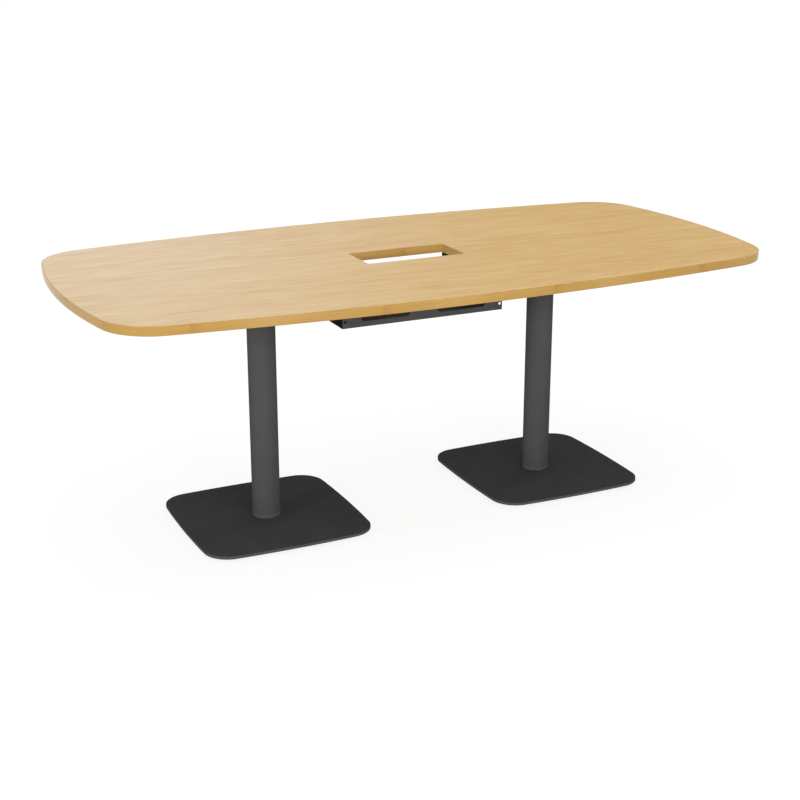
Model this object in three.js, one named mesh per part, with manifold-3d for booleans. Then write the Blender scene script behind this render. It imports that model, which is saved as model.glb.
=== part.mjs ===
// Conference table: a boat-shaped top on two round columns with square foot plates,
// a cable cut-out in the middle of the top and a folded cable tray hung below it.
// Millimetres, +Z up. The origin lies on the floor under the middle of the top,
// +X runs along the length of the top and the front of the table faces -Y.

import * as THREE from 'three';
import { mergeVertices } from 'three/addons/utils/BufferGeometryUtils.js';
import Module from 'manifold-3d';

const wasm = await Module();
wasm.setup();

// Table top: a faced board with bowed sides, edged all round and inside its cut-out
const TABLE_HEIGHT = 740;
const TOP_LENGTH = 2000;
const TOP_WIDTH = 1000;
const TOP_THICKNESS = 25;
const SIDE_RADIUS = 6700;
const END_RADIUS = 1750;
const CORNER_RADIUS = 150;
const EDGE_BAND = 2;
const EDGE_ROUND = 1.6;
const CUTOUT_LENGTH = 300;
const CUTOUT_WIDTH = 140;
const CUTOUT_CORNER = 4;
const CUTOUT_BAND = 1;
const GLUE_GAP = 0.1;

// Legs: tube on a round flange on a foot plate with bowed sides, and a plate at its head under the top
const COLUMN_SPACING = 892;
const COLUMN_DIAMETER = 80;
const COLUMN_WALL = 2;
const FLANGE_THICKNESS = 10;
const FLANGE_EDGE = 0.6;
const BASE_LENGTH = 500;
const BASE_WIDTH = 500;
const BASE_THICKNESS = 8;
const BASE_SIDE_RADIUS = 3400;
const BASE_CORNER = 75;
const BASE_EDGE = 0.8;
const TOP_PLATE_LENGTH = 350;
const TOP_PLATE_WIDTH = 350;
const TOP_PLATE_THICKNESS = 5;
const TOP_PLATE_CORNER = 40;

// Levelling glides: a foot that screws on a stud welded under the foot plate
const GLIDE_RISE = 9;
const GLIDE_DIAMETER = 40;
const GLIDE_COLLAR_DIAMETER = 30;
const GLIDE_COLLAR_HEIGHT = 3;
const GLIDE_EDGE = 1;
const GLIDE_INSET = 65;
const GLIDE_SOLE = 1.5;
const GLIDE_SEAT_GAP = 0.3;
const STUD_DIAMETER = 10;
const STUD_END_GAP = 0.5;
const THREAD_CLEARANCE = 0.2;

// Cable tray: one folded sheet, hung from two hat-shaped hangers riveted inside it
const TRAY_LENGTH = 500;
const TRAY_WIDTH = 236;
const TRAY_DROP = 140;
const TRAY_LIP = 50;
const TRAY_SHEET = 1.5;
const TRAY_BEND = 1.5;
const SLOT_LENGTH = 150;
const SLOT_HEIGHT = 18;
const SLOT_RISE = 16;
const SLOT_SPACING = 236;
const END_HOLE_DIAMETER = 8;
const END_HOLE_RISE = 19;
const END_HOLE_DISTANCE = 8;
const HANGER_WIDTH = 60;
const HANGER_SHEET = 2;
const HANGER_BEND = 3;
const HANGER_FLANGE = 28;
const HANGER_END_DISTANCE = 18;
const HANGER_GAP = 0.3;

// Fasteners
const SCREW_CLEARANCE = 0.3;
const SCREW_TIP = 0.8;
const SCREW_END_GAP = 0.5;
const BASE_SCREW_DIAMETER = 8;
const BASE_SCREW_HEAD = 15.8;
const BASE_SCREW_DRIVE = 5;
const BASE_SCREW_RIM = 15;
const PLATE_SCREW_DIAMETER = 6;
const PLATE_SCREW_HEAD = 11;
const PLATE_SCREW_HEAD_HEIGHT = 3.3;
const PLATE_SCREW_DRIVE = 4;
const PLATE_SCREW_BITE = 13;
const PLATE_SCREW_EDGE = 30;
const TRAY_SCREW_DIAMETER = 4.5;
const TRAY_SCREW_HEAD = 9;
const TRAY_SCREW_HEAD_HEIGHT = 2.8;
const TRAY_SCREW_DRIVE = 3.4;
const TRAY_SCREW_BITE = 13;
const TRAY_SCREW_SPACING = 36;
const DRIVE_DEPTH = 2;
const RIVET_DIAMETER = 4;
const RIVET_HEAD = 8;
const RIVET_HEAD_HEIGHT = 1.4;
const RIVET_SPACING = 140;

// Facets
const OUTLINE_STEPS = 14;
const CORNER_STEPS = 10;
const SMALL_CORNER_STEPS = 3;
const BEND_STEPS = 3;
const ROUND_STEPS = 2;
const COLUMN_SIDES = 40;
const GLIDE_SIDES = 16;
const SCREW_SIDES = 8;
const OVERCUT = 5;

// Heights that follow from the sizes above
const TOP_UNDERSIDE = TABLE_HEIGHT - TOP_THICKNESS;
const BASE_TOP = GLIDE_RISE + BASE_THICKNESS;
const COLUMN_FOOT = BASE_TOP + FLANGE_THICKNESS;
const COLUMN_HEAD = TOP_UNDERSIDE - TOP_PLATE_THICKNESS;
const TRAY_UNDERSIDE = TOP_UNDERSIDE - TRAY_DROP;
const HANGER_CENTRE = TRAY_LENGTH / 2 - HANGER_END_DISTANCE - HANGER_WIDTH / 2;
const HANGER_LEG = TRAY_WIDTH / 2 - TRAY_SHEET - HANGER_GAP - HANGER_SHEET / 2;
const TRAY_SCREW_LINE = HANGER_LEG + HANGER_SHEET / 2 + HANGER_FLANGE / 2;
const BASE_SCREW_RADIUS = COLUMN_DIAMETER / 2 - BASE_SCREW_RIM;

const FINISHES = {
  melamine: { color: 0xdcc49a, roughness: 0.5, metalness: 0 },
  edging: { color: 0xcfa050, roughness: 0.5, metalness: 0 },
  anthraciteSteel: { color: 0x4a4b4d, roughness: 0.55, metalness: 0.1 },
  zincSteel: { color: 0xa8a9a6, roughness: 0.4, metalness: 1 },
  blackPlastic: { color: 0x222224, roughness: 0.6, metalness: 0 },
};

const ENDS = [{ name: 'left', x: -1 }, { name: 'right', x: 1 }];
const SIDES = [{ name: 'front', y: -1 }, { name: 'rear', y: 1 }];

// Joins the shared points of a geometry and drops the triangles that collapse on an axis.
function closed(geometry) {
  const bare = geometry.clone();
  bare.deleteAttribute('normal');
  bare.deleteAttribute('uv');
  const merged = mergeVertices(bare);
  const corners = merged.index.array;
  const kept = [];
  for (let i = 0; i < corners.length; i += 3) {
    const [a, b, c] = [corners[i], corners[i + 1], corners[i + 2]];
    if (a !== b && b !== c && c !== a) kept.push(a, b, c);
  }
  merged.setIndex(kept);
  return merged;
}

function solid(geometry) {
  const shape = closed(geometry);
  const vertProperties = new Float32Array(shape.attributes.position.array);
  const triVerts = new Uint32Array(shape.index.array);
  return new wasm.Manifold(new wasm.Mesh({ numProp: 3, vertProperties, triVerts }));
}

function cut(geometry, cutters) {
  const left = cutters.reduce((rest, cutter) => rest.subtract(solid(cutter)), solid(geometry));
  const { vertProperties, triVerts } = left.getMesh();
  const result = new THREE.BufferGeometry();
  result.setAttribute('position', new THREE.BufferAttribute(vertProperties, 3));
  result.setIndex(new THREE.BufferAttribute(triVerts, 1));
  return result;
}

function piece(name, geometry, finish) {
  const shape = closed(geometry);
  shape.computeVertexNormals();
  const mesh = new THREE.Mesh(shape, new THREE.MeshStandardMaterial(FINISHES[finish]));
  mesh.name = name;
  return mesh;
}

// Points along an arc from one angle to another, without the last one.
function arc(centreX, centreY, radius, from, to, steps) {
  const points = [];
  for (let i = 0; i < steps; i++) {
    const angle = from + ((to - from) * i) / steps;
    points.push(new THREE.Vector2(
      centreX + radius * Math.cos(angle),
      centreY + radius * Math.sin(angle),
    ));
  }
  return points;
}

function circle(centreX, centreY, radius, sides) {
  return arc(centreX, centreY, radius, 0, 2 * Math.PI, sides);
}

function roundedRectangle(length, width, radius, steps) {
  const x = length / 2 - radius;
  const y = width / 2 - radius;
  const quarter = Math.PI / 2;
  return [
    ...arc(x, y, radius, 0, quarter, steps),
    new THREE.Vector2(x, width / 2),
    ...arc(-x, y, radius, quarter, 2 * quarter, steps),
    new THREE.Vector2(-length / 2, y),
    ...arc(-x, -y, radius, 2 * quarter, 3 * quarter, steps),
    new THREE.Vector2(-x, -width / 2),
    ...arc(x, -y, radius, 3 * quarter, 4 * quarter, steps),
    new THREE.Vector2(length / 2, -y),
  ];
}

// Upright prism over an outline, with holes through it and optional rounded edges.
function slab(points, thickness, holes = [], edge = 0, edgeSteps = 1) {
  const shape = new THREE.Shape(points);
  shape.holes = holes.map((hole) => new THREE.Path(hole));
  const geometry = new THREE.ExtrudeGeometry(shape, {
    depth: thickness - 2 * edge,
    bevelEnabled: edge > 0,
    bevelThickness: edge,
    bevelSize: edge,
    bevelOffset: -edge,
    bevelSegments: edgeSteps,
  });
  return geometry.translate(0, 0, edge);
}

// Solid of revolution about Z from [radius, height] pairs that run up from the axis and back to it.
function turned(profile, sides) {
  const points = profile.map(([radius, height]) => new THREE.Vector2(radius, height));
  return new THREE.LatheGeometry(points, sides).rotateX(Math.PI / 2);
}

function drill(x, y, low, high, diameter) {
  const bit = new THREE.CylinderGeometry(diameter / 2, diameter / 2, high - low, SCREW_SIDES);
  return bit.rotateX(Math.PI / 2).translate(x, y, (low + high) / 2);
}

// Section of a folded sheet: its middle line through the corners, each bent to an inner radius.
function folded(corners, sheet, bend) {
  const half = sheet / 2;
  const radius = bend + half;
  const left = [];
  const right = [];
  const mark = (point, along) => {
    const across = new THREE.Vector2(-along.y, along.x);
    left.push(point.clone().addScaledVector(across, half));
    right.push(point.clone().addScaledVector(across, -half));
  };
  const line = corners.map(([y, z]) => new THREE.Vector2(y, z));
  const heading = (i) => line[i + 1].clone().sub(line[i]).normalize();
  mark(line[0], heading(0));
  for (let i = 1; i < line.length - 1; i++) {
    const before = heading(i - 1);
    const turn = Math.atan2(before.cross(heading(i)), before.dot(heading(i)));
    const start = line[i].clone().addScaledVector(before, -radius * Math.tan(Math.abs(turn) / 2));
    const inward = new THREE.Vector2(-before.y, before.x).multiplyScalar(Math.sign(turn));
    const centre = start.clone().addScaledVector(inward, radius);
    for (let k = 0; k <= BEND_STEPS; k++) {
      const angle = (turn * k) / BEND_STEPS;
      const along = before.clone().rotateAround(new THREE.Vector2(), angle);
      mark(start.clone().rotateAround(centre, angle), along);
    }
  }
  mark(line[line.length - 1], heading(line.length - 2));
  return [...right, ...left.reverse()];
}

// Runs a section drawn in Y and Z along X, centred on the origin.
function alongX(section, length) {
  const toX = new THREE.Matrix4().makeBasis(
    new THREE.Vector3(0, 1, 0),
    new THREE.Vector3(0, 0, 1),
    new THREE.Vector3(1, 0, 0),
  );
  return slab(section, length).applyMatrix4(toX).translate(-length / 2, 0, 0);
}

// Runs a section drawn in X and Z along Y, centred on the origin.
function alongY(section, length) {
  return slab(section, length).rotateX(Math.PI / 2).translate(0, length / 2, 0);
}

// Outline with four bowed sides, moved inwards by an inset. Each corner arc is tangent to its two sides.
function bowedOutline(length, width, sideRadius, endRadius, cornerRadius, inset, steps) {
  const sideCentre = width / 2 - sideRadius;
  const endCentre = length / 2 - endRadius;
  const toSide = sideRadius - cornerRadius;
  const toEnd = endRadius - cornerRadius;
  const apart = Math.hypot(endCentre, sideCentre);
  const along = (toSide ** 2 - toEnd ** 2 + apart ** 2) / (2 * apart);
  const across = Math.sqrt(toSide ** 2 - along ** 2);
  const [ux, uy] = [endCentre / apart, -sideCentre / apart];
  const x = ux * along + uy * across;
  const y = sideCentre + uy * along - ux * across;
  const sideAngle = Math.atan2(y - sideCentre, x);
  const endAngle = Math.atan2(y, x - endCentre);
  const side = sideRadius - inset;
  const end = endRadius - inset;
  const corner = cornerRadius - inset;
  const half = Math.PI;
  return [
    ...arc(endCentre, 0, end, -endAngle, endAngle, steps),
    ...arc(x, y, corner, endAngle, sideAngle, steps),
    ...arc(0, sideCentre, side, sideAngle, half - sideAngle, steps),
    ...arc(-x, y, corner, half - sideAngle, half - endAngle, steps),
    ...arc(-endCentre, 0, end, half - endAngle, half + endAngle, steps),
    ...arc(-x, -y, corner, half + endAngle, half + sideAngle, steps),
    ...arc(0, -sideCentre, side, half + sideAngle, 2 * half - sideAngle, steps),
    ...arc(x, -y, corner, 2 * half - sideAngle, 2 * half - endAngle, steps),
  ];
}

function topOutline(inset) {
  return bowedOutline(
    TOP_LENGTH,
    TOP_WIDTH,
    SIDE_RADIUS,
    END_RADIUS,
    CORNER_RADIUS,
    inset,
    OUTLINE_STEPS,
  );
}

function cutoutOutline(growth) {
  return roundedRectangle(
    CUTOUT_LENGTH + 2 * growth,
    CUTOUT_WIDTH + 2 * growth,
    CUTOUT_CORNER + growth,
    SMALL_CORNER_STEPS,
  );
}

// Places of the screws that hold a leg's head plate, from the column's axis.
function plateScrewPlaces() {
  const x = TOP_PLATE_LENGTH / 2 - PLATE_SCREW_EDGE;
  const y = TOP_PLATE_WIDTH / 2 - PLATE_SCREW_EDGE;
  return [[x, y], [-x, y], [-x, -y], [x, -y]];
}

// Places of the screws that hold a tray hanger, from the hanger's middle.
function hangerScrewPlaces() {
  const x = TRAY_SCREW_SPACING / 2;
  return SIDES.flatMap((side) => [-x, x].map((at, i) => ({
    name: `${side.name}_${i + 1}`,
    x: at,
    y: side.y * TRAY_SCREW_LINE,
  })));
}

function rivetPlaces() {
  return SIDES.map((side) => ({ name: side.name, y: side.y * RIVET_SPACING / 2 }));
}

// Screws and rivets stand upright on the outer face of their head, which points down.
function countersunkScrew(diameter, head, drive, length) {
  return turned([
    [0, DRIVE_DEPTH],
    [drive / 2, DRIVE_DEPTH],
    [drive / 2, 0],
    [head / 2, 0],
    [diameter / 2, (head - diameter) / 2],
    [diameter / 2, length - SCREW_TIP],
    [diameter / 2 - SCREW_TIP, length],
    [0, length],
  ], SCREW_SIDES);
}

function panHeadScrew(diameter, head, headHeight, drive, length) {
  return turned([
    [0, DRIVE_DEPTH],
    [drive / 2, DRIVE_DEPTH],
    [drive / 2, 0],
    [(head + drive) / 4, 0],
    [head / 2, headHeight / 2],
    [head / 2, headHeight],
    [diameter / 2, headHeight],
    [diameter / 2, headHeight + length - SCREW_TIP],
    [diameter / 2 - SCREW_TIP, headHeight + length],
    [0, headHeight + length],
  ], SCREW_SIDES);
}

function rivet(grip) {
  const top = RIVET_HEAD_HEIGHT + grip;
  return turned([
    [0, 0],
    [RIVET_HEAD / 4, 0],
    [RIVET_HEAD / 2, RIVET_HEAD_HEIGHT],
    [RIVET_DIAMETER / 2, RIVET_HEAD_HEIGHT],
    [RIVET_DIAMETER / 2, top],
    [RIVET_HEAD / 2, top],
    [RIVET_HEAD / 4, top + RIVET_HEAD_HEIGHT],
    [0, top + RIVET_HEAD_HEIGHT],
  ], SCREW_SIDES);
}

function makeTop() {
  const group = new THREE.Group();
  group.position.z = TOP_UNDERSIDE;

  const plateHoles = ENDS.flatMap((end) => plateScrewPlaces().map(([x, y]) => drill(
    end.x * COLUMN_SPACING / 2 + x,
    y,
    -OVERCUT,
    PLATE_SCREW_BITE + SCREW_END_GAP,
    PLATE_SCREW_DIAMETER + 2 * SCREW_CLEARANCE,
  )));
  const trayHoles = ENDS.flatMap((end) => hangerScrewPlaces().map((place) => drill(
    end.x * HANGER_CENTRE + place.x,
    place.y,
    -OVERCUT,
    TRAY_SCREW_BITE + SCREW_END_GAP,
    TRAY_SCREW_DIAMETER + 2 * SCREW_CLEARANCE,
  )));
  const cutoutInBoard = cutoutOutline(CUTOUT_BAND + GLUE_GAP);
  const board = slab(topOutline(EDGE_BAND + GLUE_GAP), TOP_THICKNESS, [cutoutInBoard]);
  group.add(piece('top_panel', cut(board, [...plateHoles, ...trayHoles]), 'melamine'));

  const rounded = slab(topOutline(0), TOP_THICKNESS, [], EDGE_ROUND, ROUND_STEPS);
  const inside = slab(topOutline(EDGE_BAND), TOP_THICKNESS + 2 * OVERCUT);
  inside.translate(0, 0, -OVERCUT);
  group.add(piece('edge_band', cut(rounded, [inside]), 'edging'));

  const lining = slab(cutoutOutline(CUTOUT_BAND), TOP_THICKNESS, [cutoutOutline(0)]);
  group.add(piece('cutout_edge_band', lining, 'edging'));
  return group;
}

function basePlate(screwPlaces) {
  const outline = bowedOutline(
    BASE_LENGTH,
    BASE_WIDTH,
    BASE_SIDE_RADIUS,
    BASE_SIDE_RADIUS,
    BASE_CORNER,
    0,
    CORNER_STEPS,
  );
  const wide = BASE_SCREW_HEAD / 2 + SCREW_CLEARANCE;
  const narrow = BASE_SCREW_DIAMETER / 2 + SCREW_CLEARANCE;
  const sinks = screwPlaces.map(([x, y]) => turned([
    [0, -OVERCUT],
    [wide, -OVERCUT],
    [wide, 0],
    [narrow, (BASE_SCREW_HEAD - BASE_SCREW_DIAMETER) / 2],
    [narrow, BASE_THICKNESS + OVERCUT],
    [0, BASE_THICKNESS + OVERCUT],
  ], SCREW_SIDES).translate(x, y, 0));
  return cut(slab(outline, BASE_THICKNESS, [], BASE_EDGE), sinks);
}

function columnFlange(screwPlaces) {
  const rim = circle(0, 0, COLUMN_DIAMETER / 2, COLUMN_SIDES);
  const bores = screwPlaces.map(([x, y]) => drill(
    x,
    y,
    -OVERCUT,
    FLANGE_THICKNESS + OVERCUT,
    BASE_SCREW_DIAMETER + 2 * SCREW_CLEARANCE,
  ));
  return cut(slab(rim, FLANGE_THICKNESS, [], FLANGE_EDGE), bores);
}

// Foot of a levelling glide: a wide sole under a narrower collar, bored from above for the stud.
function glideFoot() {
  const bore = STUD_DIAMETER / 2 + THREAD_CLEARANCE;
  const top = GLIDE_RISE - GLIDE_SEAT_GAP;
  return turned([
    [0, 0],
    [GLIDE_DIAMETER / 2 - GLIDE_EDGE, 0],
    [GLIDE_DIAMETER / 2, GLIDE_EDGE],
    [GLIDE_DIAMETER / 2, top - GLIDE_COLLAR_HEIGHT],
    [GLIDE_COLLAR_DIAMETER / 2, top - GLIDE_COLLAR_HEIGHT],
    [GLIDE_COLLAR_DIAMETER / 2, top],
    [bore, top],
    [bore, GLIDE_SOLE],
    [0, GLIDE_SOLE],
  ], GLIDE_SIDES);
}

function addGlides(group, end) {
  const studFoot = GLIDE_SOLE + STUD_END_GAP;
  const reaches = [{ name: 'outer', x: end.x }, { name: 'inner', x: -end.x }];
  for (const side of SIDES) {
    for (const reach of reaches) {
      const x = reach.x * (BASE_LENGTH / 2 - GLIDE_INSET);
      const y = side.y * (BASE_WIDTH / 2 - GLIDE_INSET);
      const place = `${end.name}_${side.name}_${reach.name}`;
      const stud = drill(x, y, studFoot, GLIDE_RISE, STUD_DIAMETER);
      group.add(piece(`glide_stud_${place}`, stud, 'zincSteel'));
      const foot = piece(`glide_foot_${place}`, glideFoot(), 'blackPlastic');
      foot.position.set(x, y, 0);
      group.add(foot);
    }
  }
}

function makeLeg(end) {
  const group = new THREE.Group();
  group.position.x = end.x * COLUMN_SPACING / 2;
  const name = end.name;
  const place = (mesh, x, y, z) => {
    mesh.position.set(x, y, z);
    group.add(mesh);
  };

  const r = BASE_SCREW_RADIUS;
  const baseScrewPlaces = [[r, 0], [0, r], [-r, 0], [0, -r]];
  place(piece(`base_plate_${name}`, basePlate(baseScrewPlaces), 'anthraciteSteel'), 0, 0, GLIDE_RISE);
  const flange = columnFlange(baseScrewPlaces);
  place(piece(`column_flange_${name}`, flange, 'anthraciteSteel'), 0, 0, BASE_TOP);
  const baseScrewLength = BASE_THICKNESS + FLANGE_THICKNESS - SCREW_END_GAP;
  baseScrewPlaces.forEach(([x, y], i) => {
    const screw = countersunkScrew(
      BASE_SCREW_DIAMETER,
      BASE_SCREW_HEAD,
      BASE_SCREW_DRIVE,
      baseScrewLength,
    );
    place(piece(`base_screw_${name}_${i + 1}`, screw, 'zincSteel'), x, y, GLIDE_RISE);
  });

  const outside = circle(0, 0, COLUMN_DIAMETER / 2, COLUMN_SIDES);
  const inside = circle(0, 0, COLUMN_DIAMETER / 2 - COLUMN_WALL, COLUMN_SIDES);
  const tube = slab(outside, COLUMN_HEAD - COLUMN_FOOT, [inside]);
  place(piece(`column_${name}`, tube, 'anthraciteSteel'), 0, 0, COLUMN_FOOT);

  const plateOutline = roundedRectangle(
    TOP_PLATE_LENGTH,
    TOP_PLATE_WIDTH,
    TOP_PLATE_CORNER,
    CORNER_STEPS,
  );
  const plateHole = PLATE_SCREW_DIAMETER / 2 + SCREW_CLEARANCE;
  const plateHoles = plateScrewPlaces().map(([x, y]) => circle(x, y, plateHole, SCREW_SIDES));
  const plate = slab(plateOutline, TOP_PLATE_THICKNESS, plateHoles);
  place(piece(`top_plate_${name}`, plate, 'anthraciteSteel'), 0, 0, COLUMN_HEAD);
  plateScrewPlaces().forEach(([x, y], i) => {
    const screw = panHeadScrew(
      PLATE_SCREW_DIAMETER,
      PLATE_SCREW_HEAD,
      PLATE_SCREW_HEAD_HEIGHT,
      PLATE_SCREW_DRIVE,
      TOP_PLATE_THICKNESS + PLATE_SCREW_BITE,
    );
    const z = COLUMN_HEAD - PLATE_SCREW_HEAD_HEIGHT;
    place(piece(`top_plate_screw_${name}_${i + 1}`, screw, 'zincSteel'), x, y, z);
  });

  addGlides(group, end);
  return group;
}

function trayTrough() {
  const half = (TRAY_WIDTH - TRAY_SHEET) / 2;
  const floor = TRAY_SHEET / 2;
  const section = folded(
    [[-half, TRAY_LIP], [-half, floor], [half, floor], [half, TRAY_LIP]],
    TRAY_SHEET,
    TRAY_BEND,
  );
  const through = TRAY_WIDTH + 2 * OVERCUT;
  const slot = roundedRectangle(SLOT_LENGTH, SLOT_HEIGHT, SLOT_HEIGHT / 2, CORNER_STEPS / 2);
  const hole = circle(0, 0, END_HOLE_DIAMETER / 2, SCREW_SIDES);
  const cutters = ENDS.flatMap((end) => [
    alongY(slot, through).translate(end.x * SLOT_SPACING / 2, 0, SLOT_RISE + SLOT_HEIGHT / 2),
    alongY(hole, through).translate(
      end.x * (TRAY_LENGTH / 2 - END_HOLE_DISTANCE),
      0,
      END_HOLE_RISE,
    ),
    ...rivetPlaces().map((rivetPlace) => drill(
      end.x * HANGER_CENTRE,
      rivetPlace.y,
      -OVERCUT,
      TRAY_SHEET + OVERCUT,
      RIVET_DIAMETER + 2 * SCREW_CLEARANCE,
    )),
  ]);
  return cut(alongX(section, TRAY_LENGTH), cutters);
}

// Hat-shaped strip: it lies on the tray's floor, rises inside both lips and turns out under the top.
function trayHanger() {
  const height = TRAY_DROP - TRAY_SHEET;
  const floor = HANGER_SHEET / 2;
  const flange = height - HANGER_SHEET / 2;
  const brim = HANGER_LEG + HANGER_SHEET / 2 + HANGER_FLANGE;
  const section = folded(
    [
      [-brim, flange],
      [-HANGER_LEG, flange],
      [-HANGER_LEG, floor],
      [HANGER_LEG, floor],
      [HANGER_LEG, flange],
      [brim, flange],
    ],
    HANGER_SHEET,
    HANGER_BEND,
  );
  const screwHoles = hangerScrewPlaces().map((place) => drill(
    place.x,
    place.y,
    height - HANGER_SHEET - OVERCUT,
    height + OVERCUT,
    TRAY_SCREW_DIAMETER + 2 * SCREW_CLEARANCE,
  ));
  const rivetHoles = rivetPlaces().map((place) => drill(
    0,
    place.y,
    -OVERCUT,
    HANGER_SHEET + OVERCUT,
    RIVET_DIAMETER + 2 * SCREW_CLEARANCE,
  ));
  return cut(alongX(section, HANGER_WIDTH), [...screwHoles, ...rivetHoles]);
}

function makeTray() {
  const group = new THREE.Group();
  group.position.z = TRAY_UNDERSIDE;
  group.add(piece('cable_tray', trayTrough(), 'anthraciteSteel'));
  for (const end of ENDS) {
    const x = end.x * HANGER_CENTRE;
    const hanger = piece(`tray_hanger_${end.name}`, trayHanger(), 'anthraciteSteel');
    hanger.position.set(x, 0, TRAY_SHEET);
    group.add(hanger);
    for (const place of hangerScrewPlaces()) {
      const screw = piece(`tray_screw_${end.name}_${place.name}`, panHeadScrew(
        TRAY_SCREW_DIAMETER,
        TRAY_SCREW_HEAD,
        TRAY_SCREW_HEAD_HEIGHT,
        TRAY_SCREW_DRIVE,
        HANGER_SHEET + TRAY_SCREW_BITE,
      ), 'zincSteel');
      const z = TRAY_DROP - HANGER_SHEET - TRAY_SCREW_HEAD_HEIGHT;
      screw.position.set(x + place.x, place.y, z);
      group.add(screw);
    }
    for (const place of rivetPlaces()) {
      const mesh = piece(
        `tray_rivet_${end.name}_${place.name}`,
        rivet(TRAY_SHEET + HANGER_SHEET),
        'zincSteel',
      );
      mesh.position.set(x, place.y, -RIVET_HEAD_HEIGHT);
      group.add(mesh);
    }
  }
  return group;
}

const table = new THREE.Group();
table.name = 'conference_table';
table.add(makeTop(), ...ENDS.map(makeLeg), makeTray());

export default table;
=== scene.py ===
"""Finished pieces and surfaces of a two-column conference table, built around its fixed frame."""

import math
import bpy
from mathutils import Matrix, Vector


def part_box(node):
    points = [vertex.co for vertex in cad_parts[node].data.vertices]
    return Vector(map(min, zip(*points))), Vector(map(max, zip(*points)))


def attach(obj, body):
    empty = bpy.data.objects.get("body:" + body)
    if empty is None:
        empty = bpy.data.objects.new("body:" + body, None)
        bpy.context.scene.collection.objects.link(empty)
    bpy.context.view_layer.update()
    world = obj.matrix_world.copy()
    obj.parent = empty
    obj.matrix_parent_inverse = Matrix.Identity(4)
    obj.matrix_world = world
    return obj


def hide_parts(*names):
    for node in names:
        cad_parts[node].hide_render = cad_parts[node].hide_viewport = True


bl_info = {
    "name": "Conference Table",
    "version": (1, 0, 0),
    "blender": (4, 5, 0),
    "location": "View3D > Sidebar > Table",
    "description": "Builds the finished pieces of a conference table with a cable tray",
    "category": "Object",
}

import bmesh
import bpy
import numpy
from bpy.props import FloatProperty, FloatVectorProperty, PointerProperty
from mathutils import Matrix, Vector
from mathutils.geometry import intersect_sphere_sphere_2d

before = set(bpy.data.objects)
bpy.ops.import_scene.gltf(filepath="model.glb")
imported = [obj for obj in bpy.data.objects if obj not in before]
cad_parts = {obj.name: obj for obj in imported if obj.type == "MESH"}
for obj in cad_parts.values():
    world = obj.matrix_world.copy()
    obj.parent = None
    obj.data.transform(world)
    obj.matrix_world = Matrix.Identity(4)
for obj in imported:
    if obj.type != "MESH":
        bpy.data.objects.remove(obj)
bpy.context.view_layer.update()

MM = 0.001
# Points that lie closer than this are joined.
MERGE = 1e-5
QUARTER = math.pi / 2
ENDS = ("left", "right")
SIDES = ("front", "rear")
GLIDES = [f"{end}_{side}_{reach}" for end in ENDS for side in SIDES for reach in ("outer", "inner")]

# Steps of the bowed outlines' arcs.
END_STEPS, CORNER_STEPS, SIDE_STEPS = 20, 24, 28
# Steps of tight bends and corners, and of rounder ones.
BEND_STEPS, ROUND_STEPS = 6, 16
# Sides of the turned pieces. Holes have as many as screws.
COLUMN_SIDES, GLIDE_SIDES, STUD_SIDES, SCREW_SIDES = 120, 48, 32, 24
# Faces that meet at more than this angle are shaded apart.
SHADE_ANGLE = math.radians(34)
# Faces that meet at more than this angle, in radians, form a corner to be rounded.
CORNER_ANGLE = 1.0
# A plate's rim lies farther from its middle than this share of its size.
RIM_SHARE = 0.4
SHEET_EDGE = 0.25 * MM
GLIDE_EDGE = 1 * MM

# Heights of the fasteners' heads and radii of their shanks.
BASE_SCREW = (3.9 * MM, 4 * MM)
PLATE_SCREW = (3.3 * MM, 3 * MM)
TRAY_SCREW = (2.8 * MM, 2.25 * MM)
RIVET = (1.4 * MM, 2 * MM)
# Outlines of their heads from the middle out, as shares of a head's radius and height.
SUNK_HEAD = ((0.62, 0.0), (0.97, 0.0), (1.0, 0.06))
PAN_HEAD = ((0.62, 0.0), (0.84, 0.12), (0.96, 0.36), (1.0, 0.65), (1.0, 1.0))
RIVET_HEAD = ((0.0, 0.0), (0.35, 0.05), (0.68, 0.25), (0.9, 0.6), (1.0, 1.0))
# The bluish and the yellowish tone that their plating shifts between.
BRIGHT_ZINC = ("#B4B8BC", "#B9B5A6")
BLACK_ZINC = ("#38393B", "#3B3A37")

# The camera stands left of the table's front, turned to the right and tipped down by these angles.
CAMERA_PLACE = (-1.78009, -3.75131, 1.69495)
CAMERA_TURN = math.radians(25.133)
CAMERA_DIP = math.radians(18.587)
CAMERA_SENSOR = 36.0
# All lamps point at this place, between the columns.
LAMP_TARGET = Vector((0, 0, 0.4))

WHITE = (1, 1, 1, 1)
# A colour mix node's sockets: its share, its two colours and its result.
SHARE, FIRST, SECOND, RESULT = 0, 6, 7, 2


def linear(hex_colour):
    """Turns an sRGB hex value such as #D6B67F into linear red, green, blue and alpha."""
    parts = [int(hex_colour[i:i + 2], 16) / 255 for i in (1, 3, 5)]
    return [p / 12.92 if p <= 0.04045 else ((p + 0.055) / 1.055) ** 2.4 for p in parts] + [1.0]


def spread(node):
    """Middle and size of a node of the frame."""
    low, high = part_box(node)
    return (low + high) / 2, high - low


def size_setting(label, purpose, default):
    """A length that a user may change, in metres."""
    return FloatProperty(name=label, description=purpose, default=default, unit="LENGTH", precision=4)


def colour_setting(label, purpose, hex_colour):
    """A colour that a user may change, written in sRGB hex."""
    return FloatVectorProperty(
        name=label,
        description=purpose,
        default=linear(hex_colour),
        subtype="COLOR",
        size=4,
        min=0.0,
        max=1.0,
    )


def power_setting(label, purpose, default):
    """A lamp's power that a user may change, in watts."""
    return FloatProperty(name=label, description=purpose, default=default, subtype="POWER")


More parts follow.
